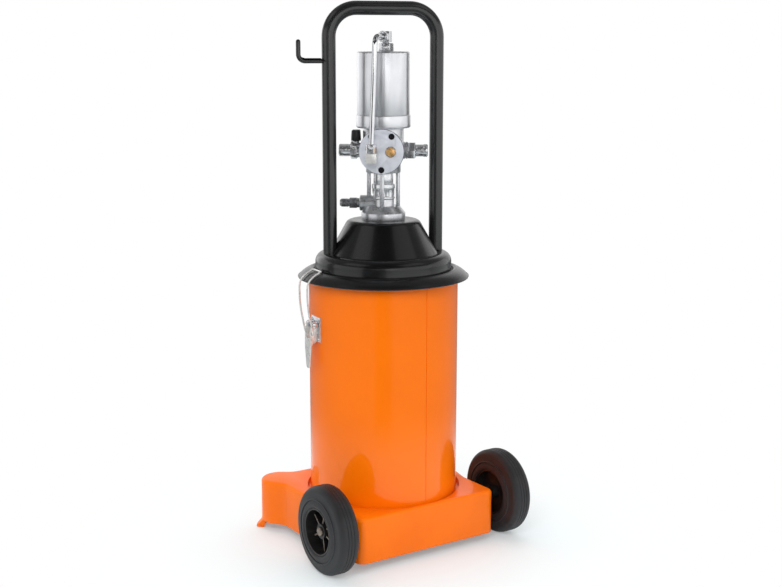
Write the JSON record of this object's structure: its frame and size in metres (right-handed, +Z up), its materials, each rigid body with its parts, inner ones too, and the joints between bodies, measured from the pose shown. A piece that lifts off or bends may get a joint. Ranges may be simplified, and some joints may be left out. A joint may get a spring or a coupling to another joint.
{
  "type": "pneumatic grease pump",
  "caption": "Air-driven grease pump: round drum with latched domed lid and push handle on a wheeled base, air motor, suction tube and follower plate.",
  "frame": {"origin": "on the floor, at the middle of the part's plan box", "axes": "+Z up, X along the wheel axle, +Y from the wheels to the rear feet"},
  "size_m": [0.359, 0.3077, 0.832],
  "materials": {
    "orange_enamel": "gloss",
    "orange_moulding": "gloss",
    "black_enamel": "gloss",
    "black_plastic": "gloss",
    "tyre": "matt",
    "rubber": "matt",
    "cast_aluminium": "satin",
    "satin_aluminium": "satin",
    "zinc_steel": "zinc plated",
    "chrome": "polished",
    "dark_steel": "blackened",
    "brass": "satin"
  },
  "bodies": {
    "cart": {"drum": "orange_enamel", "base_shell": "orange_moulding", "lid": "black_enamel", "handle": "black_enamel", "hose_hook": "black_enamel", "lid_gasket": "rubber", "rod_packing": "rubber", "valve_gasket": "rubber", "outlet_body": "cast_aluminium", "valve_housing": "cast_aluminium", "cylinder_base": "cast_aluminium", "cylinder_can": "satin_aluminium", "valve_cover": "satin_aluminium", "axle": "zinc_steel", "axle_spacers": "zinc_steel", "axle_caps": "zinc_steel", "latch_bracket_left": "zinc_steel", "latch_bracket_right": "zinc_steel", "latch_rivets": "zinc_steel", "latch_pin_left": "zinc_steel", "latch_pin_right": "zinc_steel", "clamp_nut": "zinc_steel", "gland_tube": "zinc_steel", "gland_nut": "zinc_steel", "tie_rods": "zinc_steel", "lower_elbow": "zinc_steel", "upper_elbow": "zinc_steel", "top_adapter": "zinc_steel", "ball_valve_body": "zinc_steel", "inlet_nipple": "zinc_steel", "silencer": "zinc_steel", "suction_tube": "zinc_steel", "foot_valve": "zinc_steel", "air_pipe": "chrome", "lower_pipe_nut": "chrome", "upper_pipe_nut": "chrome", "check_ball": "chrome", "outlet_adapter": "dark_steel", "exhaust_adapter": "dark_steel", "cover_screws": "dark_steel", "cover_plug": "brass"},
    "wheel_left": {"wheel_rim_left": "black_plastic", "tyre_left": "tyre"},
    "wheel_right": {"wheel_rim_right": "black_plastic", "tyre_right": "tyre"},
    "lever_left": {"latch_lever_left": "chrome"},
    "lever_right": {"latch_lever_right": "chrome"},
    "bail_left": {"latch_bail_left": "chrome"},
    "bail_right": {"latch_bail_right": "chrome"},
    "air_valve_lever": {"valve_lever": "black_plastic"},
    "piston": {"air_piston": "cast_aluminium", "piston_seal": "rubber", "piston_rod": "chrome", "plunger": "zinc_steel"},
    "follower": {"follower_plate": "cast_aluminium", "follower_seal": "rubber"}
  },
  "joints": [
    {"name": "wheel_left_spin", "type": "hinge", "parent": "cart", "child": "wheel_left", "pos_m": [-0.159, -0.08768, 0.0665], "axis": [1, 0, 0], "continuous": true},
    {"name": "wheel_right_spin", "type": "hinge", "parent": "cart", "child": "wheel_right", "pos_m": [0.159, -0.08768, 0.0665], "axis": [1, 0, 0], "continuous": true},
    {"name": "latch_left_open", "type": "hinge", "parent": "cart", "child": "lever_left", "pos_m": [-0.12133, 0.01787, 0.3519], "axis": [0.1045, 0.9945, 0], "range_deg": [0, 150]},
    {"name": "bail_left_swing", "type": "hinge", "parent": "lever_left", "child": "bail_left", "pos_m": [-0.12481, 0.01824, 0.3379], "axis": [0.1045, 0.9945, 0], "range_deg": [-180, 0]},
    {"name": "latch_right_open", "type": "hinge", "parent": "cart", "child": "lever_right", "pos_m": [0.12133, 0.01787, 0.3519], "axis": [0.1045, -0.9945, 0], "range_deg": [0, 150]},
    {"name": "bail_right_swing", "type": "hinge", "parent": "lever_right", "child": "bail_right", "pos_m": [0.12481, 0.01824, 0.3379], "axis": [0.1045, -0.9945, 0], "range_deg": [-180, 0]},
    {"name": "air_valve_turn", "type": "hinge", "parent": "cart", "child": "air_valve_lever", "pos_m": [-0.0327, 0.03067, 0.6249], "axis": [0, 0, 1], "range_deg": [0, 90]},
    {"name": "piston_stroke", "type": "slide", "parent": "cart", "child": "piston", "axis": [0, 0, 1], "range_m": [0, 0.06]},
    {"name": "follower_travel", "type": "slide", "parent": "cart", "child": "follower", "axis": [0, 0, 1], "range_m": [0, 0.28]}
  ],
  "couplings": [
    {"joint": "bail_left_swing", "follows": "latch_left_open", "ratio": -1.2},
    {"joint": "bail_right_swing", "follows": "latch_right_open", "ratio": -1.2}
  ]
}
